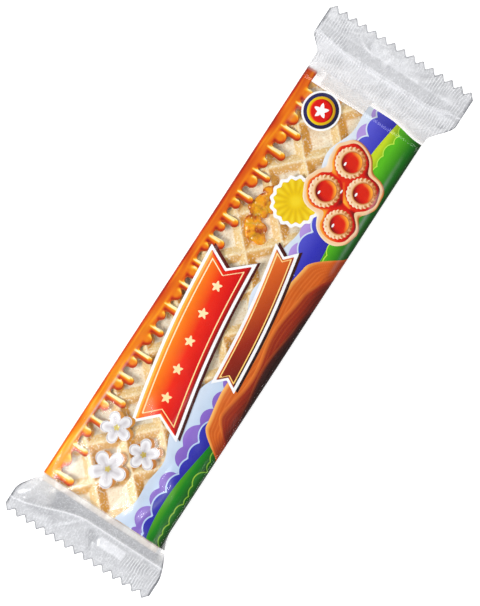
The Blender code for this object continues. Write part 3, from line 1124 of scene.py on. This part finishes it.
# The biscuit cluster: four round biscuits, each with a glossy red filling and a ring of pricked holes, in a
# red puddle with a tan rim, and a yellow rosette with a white ring behind them.
BISCUITS = ((37.2, -3.6, 4.4), (47.4, -5.4, 4.3), (42.0, -12.6, 4.2), (31.6, -11.8, 4.0))  # with their radii
ROSETTE = (30.6, 1.6, 6.0)
PUDDLE = 0.8  # how far it reaches past the biscuits,
PUDDLE_MELT = 2.6  # and how widely it fills the corners between them
HEART_SHARE = 0.66  # of a biscuit's radius, for its filling
HOLES = 11
HOLE_CIRCLE = 0.86  # of a biscuit's radius
PETALS = 16  # of the rosette


def puddle_rule(x, girth):
    area = np.full(x.shape, 9.0)
    for *middle, radius in BISCUITS:
        area = melt(area, disc(x, girth, middle, radius + PUDDLE), PUDDLE_MELT)
    return area + 0.25 * waves(x, girth, (5.0, 7.5, 4.0), 61)


def biscuit_rule(x, girth):
    areas = []
    for middle_x, middle_girth, radius in BISCUITS:
        way_x, way_girth = x - middle_x, girth - middle_girth
        scallops = 1 + 0.03 * np.cos(2 * HOLES * np.arctan2(way_girth, way_x))
        areas.append(np.hypot(way_x, way_girth) - radius * scallops)
    return np.minimum.reduce(areas)


def heart_rule(x, girth):
    hearts = [disc(x, girth, (a + 0.2, b - 0.3), HEART_SHARE * radius) for a, b, radius in BISCUITS]
    return np.minimum.reduce(hearts)


def biscuit_shade(x, girth):
    shade = embossed(biscuit_rule, x, girth, 1.0, LEFT_LIGHT)
    for middle_x, middle_girth, radius in BISCUITS:
        for i in range(HOLES):
            angle = 2 * math.pi * i / HOLES
            out_x, out_girth = (HOLE_CIRCLE * radius * way for way in (math.cos(angle), math.sin(angle)))
            shade -= 0.4 * smooth(0.32, 0.1, disc(x, girth, (middle_x + out_x, middle_girth + out_girth), 0))
    return np.clip(shade - 0.35 * smooth(0.5, 0.0, heart_rule(x, girth)), 0, 1)


def gleam_rule(x, girth):
    gleams = [np.hypot((x - a + 0.25 * r) / 1.9, girth - b - 0.26 * r) - 0.3 for a, b, r in BISCUITS]
    gleams.append(np.hypot((x - 39.5) / 2.4, girth + 7.6) - 0.25)
    return np.minimum.reduce(gleams)


def rosette_rule(x, girth):
    way_x, way_girth = x - ROSETTE[0], girth - ROSETTE[1]
    petals = 1 + 0.05 * np.cos(PETALS * np.arctan2(way_girth, way_x))
    return np.hypot(way_x, way_girth) - ROSETTE[2] * petals


def rosette_shade(x, girth):
    way_x, way_girth = x - ROSETTE[0], girth - ROSETTE[1]
    rays = 0.5 + 0.5 * np.cos(PETALS * np.arctan2(way_girth, way_x))
    share = np.hypot(way_x, way_girth) / ROSETTE[2]
    return np.clip(0.35 + 0.35 * rays * smooth(0.2, 0.9, share) + 0.3 * smooth(0.5, 0.1, share), 0, 1)


tan_stops = [(0.0, 150, 62, 20), (0.3, 214, 140, 76), (0.5, 244, 204, 158), (1.0, 255, 240, 214)]
tan_ink = ink("tan ink", tan_stops)
heart_stops = [(0.0, 96, 2, 0), (0.4, 206, 10, 0), (0.6, 226, 40, 0), (1.0, 255, 176, 50)]
heart_ink = ink("heart ink", heart_stops)
yellow_ink = ink("yellow ink", [(0.0, 196, 140, 0), (0.5, 236, 198, 0), (1.0, 255, 234, 60)])
here = (20.0, 56.0), (-19.8, 12.0)
heart_shade = raised(heart_rule, 1.6, (0.75, -0.65))
puddle_shade = raised(puddle_rule, 1.0, LEFT_LIGHT)
rim_rule = grown(puddle_rule, 1.0)
rim_shade = raised(rim_rule, 0.6, LEFT_LIGHT)
for name, layer, colour, rule, shade, step in (
    ("biscuit_gleams", 2, white_ink, gleam_rule, None, 0.2),
    ("biscuit_hearts", 2.8, heart_ink, heart_rule, heart_shade, 0.28),
    ("biscuits", 3.6, tan_ink, biscuit_rule, biscuit_shade, 0.25),
    ("caramel_puddle", 4.4, heart_ink, puddle_rule, puddle_shade, 0.3),
    ("puddle_rim", 5.2, tan_ink, rim_rule, rim_shade, 0.3),
    ("rosette", 6, yellow_ink, rosette_rule, rosette_shade, 0.3),
    ("rosette_ring", 6.8, white_ink, grown(rosette_rule, 1.0), None, INK_STEP),
):
    printed(name, layer, colour, rule, *here, shade, step)


# The blossoms: three small white five-petalled flowers printed on the window, each with grey veins, yellow
# dots in its middle and a soft brown shadow.
BLOSSOMS = ((-57.2, 4.8, 5.4, 0.2), (-48.8, -1.4, 4.5, 0.9), (-46.6, 9.0, 4.6, 0.5))  # with radius and turn
EYE_RING = 0.62
EYE_DOT = 0.3


def petals(x, girth, number):
    """The distance from a blossom's middle less its outline's there, and that outline's waist, 0 to 1."""
    middle_x, middle_girth, radius, turn = BLOSSOMS[number]
    way_x, way_girth = x - middle_x, girth - middle_girth
    waist = np.abs(np.cos(2.5 * (np.arctan2(way_girth, way_x) + turn)))
    return np.hypot(way_x, way_girth) - radius * (0.42 + 0.58 * waist**0.6), waist


def blossom_rule(x, girth):
    return np.minimum.reduce([petals(x, girth, number)[0] for number in range(len(BLOSSOMS))])


def blossom_shade(x, girth):
    rim = -blossom_rule(x, girth)
    shade = 1.0 - 0.85 * smooth(0.12, 0.3, rim) * smooth(0.62, 0.36, rim)
    shade -= 0.35 * smooth(0.4, 2.2, rim)
    for number, (middle_x, middle_girth, radius, _) in enumerate(BLOSSOMS):
        distance = np.hypot(x - middle_x, girth - middle_girth)
        _, waist = petals(x, girth, number)
        vein = smooth(0.12, 0.0, 1 - waist) * smooth(0.85, 0.6, distance / radius)
        shade -= np.where(distance < radius, 0.22 * vein + 0.3 * smooth(1.8, 1.0, distance), 0)
    return np.clip(shade, 0, 1)


def eye_rule(x, girth):
    """A dot in the middle of each blossom and a ring of five round it."""
    dots = []
    for middle_x, middle_girth, _, turn in BLOSSOMS:
        for ring, count in ((0.0, 1), (EYE_RING, 5)):
            for angle in turn + 2 * math.pi * np.arange(count) / count:
                middle = middle_x + ring * math.cos(angle), middle_girth + ring * math.sin(angle)
                dots.append(disc(x, girth, middle, EYE_DOT))
    return np.minimum.reduce(dots)


petal_ink = ink("petal ink", [(0.0, 160, 150, 152), (0.5, 208, 204, 208), (1.0, 240, 239, 241)])
eye_ink = ink("eye ink", [(0.0, 176, 150, 50), (1.0, 214, 196, 90)], up, (-4, 12))
shade_ink = ink("shade ink", [(0.0, 176, 104, 24), (1.0, 206, 140, 50)], up, (-8, 14))
around = (-66.0, -42.0), (-7.0, 14.0)
printed("blossom_eyes", 1.5, eye_ink, eye_rule, *around, step=0.2)
printed("blossoms", 2.5, petal_ink, blossom_rule, *around, blossom_shade, step=0.22)
blossom_shadow = shifted(grown(blossom_rule, -0.1), 0.7, -0.8)
printed("blossom_shadow", 3.5, shade_ink, blossom_shadow, *around, step=0.3)


# The caramel swell: three overlapping waves of caramel, dark brown to orange, that rise from the -Y edge
# under the lower banner and sink away at both their ends.
SWELLS = (
    # start of its wave, height, where it rises and where it sinks away, ink
    (0.0, 11.6, (-43.0, -33.0), (29.0, 17.0), [(0.0, 120, 26, 4), (0.5, 206, 92, 18), (1.0, 250, 186, 96)]),
    (1.9, 8.6, (-40.0, -28.0), (24.0, 10.0), [(0.0, 60, 8, 2), (0.5, 146, 38, 8), (1.0, 226, 120, 40)]),
    (4.0, 5.6, (-37.0, -24.0), (16.0, 2.0), [(0.0, 20, 2, 0), (0.5, 66, 12, 4), (1.0, 168, 66, 20)]),
)


def swell(start, height, rising, sinking):
    """The rule and the shade of one wave of caramel."""

    def rule(x, girth):
        waved = height + 0.9 * np.sin(x / 4.6 + start) + 0.3 * climb(x)
        crest = -22.5 + waved * smooth(*rising, x) * smooth(*sinking, x)
        return np.maximum(girth - crest, BANK_BACK - girth)

    def shade(x, girth):
        streak = np.sin(6.0 * rule(x, girth) + np.sin(x / 3.3)) * smooth(-0.6, -2.0, rule(x, girth))
        streaked = embossed(rule, x, girth, 1.6, (-0.3, 0.95)) + 0.07 * streak
        return np.clip(streaked - 0.4 * smooth(-15.5, -18.6, girth), 0, 1)

    return rule, shade


for number, (*form, stops) in enumerate(SWELLS):
    name = f"caramel_swell_{number}"
    rule, shade = swell(*form)
    area = (-44.0, 30.0), (BANK_BACK, -6.0)
    printed(name, 7.6 - 0.3 * number, ink(name, stops), rule, *area, shade, step=0.33)


# The badge: a round medallion printed near the +X end, of plain white, navy, yellow and red rings round a
# white star.
BADGE = (54.8, 9.4)
BADGE_STAR = 2.25
navy_ink = ink("navy ink", [(0.0, 16, 14, 50), (1.0, 40, 36, 96)], up, (4, 14))
for name, radius, colour in (
    ("badge_outline", 5.5, white_ink),
    ("badge_ring", 4.95, navy_ink),
    ("badge_inner_ring", 3.95, yellow_ink),
    ("badge_disc", 3.25, red_ink),
):

    def ring(x, girth, radius=radius):
        return disc(x, girth, BADGE, radius)

    shade = raised(ring, 0.7, LEFT_LIGHT, lift=-0.15)
    printed(name, 0.5 + radius, colour, ring, (48.0, 61.5), (3.0, 16.5), shade, step=0.3)
star = star_row(np.subtract(BADGE, (1, 0)), np.add(BADGE, (1, 0)), 0.0, 1, BADGE_STAR)
printed("badge_star", 3, white_ink, star, (49.0, 61.0), (3.0, 16.0), step=0.22)


# The back's print: one pale blank panel with round corners, between the wave field's edge and the seam.
# Round it the lower wafer shows through the clear film.
PANEL = (-4.0, -38.2)
PANEL_HALF = (40.0, 1.6)  # without its round corners
PANEL_CORNER = 1.8


def panel_rule(x, girth):
    beyond_x = np.maximum(np.abs(x - PANEL[0]) - PANEL_HALF[0], 0)
    beyond_girth = np.maximum(np.abs(girth - PANEL[1]) - PANEL_HALF[1], 0)
    return np.hypot(beyond_x, beyond_girth) - PANEL_CORNER


printed("back_panel", 3, white_ink, panel_rule, (-48.0, 40.0), (-42.5, -34.0))


# The floor, lights and camera: a white sweep, a soft light from the -X, +Y side that rakes the lattice,
# a small one that leaves its gleam on the film, and a long lens nearly overhead.
FLOOR = 1800.0  # from its middle to its sides
FLOOR_GLOW = 0.78
WHITE = (1.0, 1.0, 1.0, 1.0)
floor_material, place = new_material("white sweep")
skin = {"Base Color": linear(196, 196, 196), "Roughness": 0.7 + noise(place, 0.02) * 0.1}
surface(principled(place, {**skin, "Emission Color": WHITE, "Emission Strength": FLOOR_GLOW}))
corners = [(x * FLOOR, y * FLOOR, 0) for x, y in ((-1, -1), (1, -1), (1, 1), (-1, 1))]
floor = mesh_object("floor", corners, [(0, 1, 2, 3)], floor_material)

PIXEL = 0.2694  # millimetres of the pack to a pixel of the photograph
PHOTO_HEIGHT = 606
PACK_HEADING = math.radians(56.95)  # the pack's +X in the photograph, up from its right
CAMERA_TILT = math.radians(1.5)
CAMERA_DISTANCE = 900.0
SENSOR = 36.0
aim = Vector((-0.43, -0.38, 6.0))
right = Vector((math.cos(PACK_HEADING), -math.sin(PACK_HEADING), 0))
up_flat = Vector((math.sin(PACK_HEADING), math.cos(PACK_HEADING), 0))
backward = (Vector((0, 0, 1)) * math.cos(CAMERA_TILT) - up_flat * math.sin(CAMERA_TILT)).normalized()
upward = backward.cross(right)
camera_data = bpy.data.cameras.new("camera")
camera_data.sensor_width = SENSOR
camera_data.lens = SENSOR * CAMERA_DISTANCE / (PHOTO_HEIGHT * PIXEL)
camera = new_object("camera", camera_data)
turned = Matrix((right, upward, backward)).transposed().to_4x4()
camera.matrix_world = Matrix.Translation((aim + backward * CAMERA_DISTANCE) * MM) @ turned
bpy.context.scene.camera = camera

# Each light's name, its place, what it points at, the side of its square and its power in watts
for name, place, target, size, watts in (
    ("key", (-400, 360, 460), (0, 0, 0), 280, 4.0),
    ("fill_low", (-250, -600, 560), (0, 0, 0), 400, 1.35),
    ("fill_far", (560, 180, 560), (0, 0, 0), 400, 1.7),
    ("fill_side", (420, -520, 560), (0, 0, 0), 400, 1.1),
    ("gleam", (-88, 26, 507), (-63, 12, 8), 20, 0.07),
):
    lamp = bpy.data.lights.new(name, "AREA")
    lamp.size = size * MM
    lamp.energy = watts
    light = new_object(name, lamp)
    light.location = Vector(place) * MM
    light.rotation_euler = (Vector(place) - Vector(target)).to_track_quat("Z", "Y").to_euler()
SKY_STRENGTH = 0.20
world = bpy.data.worlds.new("studio")
world.use_nodes = True
sky = world.node_tree.nodes["Background"]
sky.inputs["Color"].default_value = WHITE
sky.inputs["Strength"].default_value = SKY_STRENGTH
bpy.context.scene.world = world
bpy.context.scene.view_settings.view_transform = "Standard"
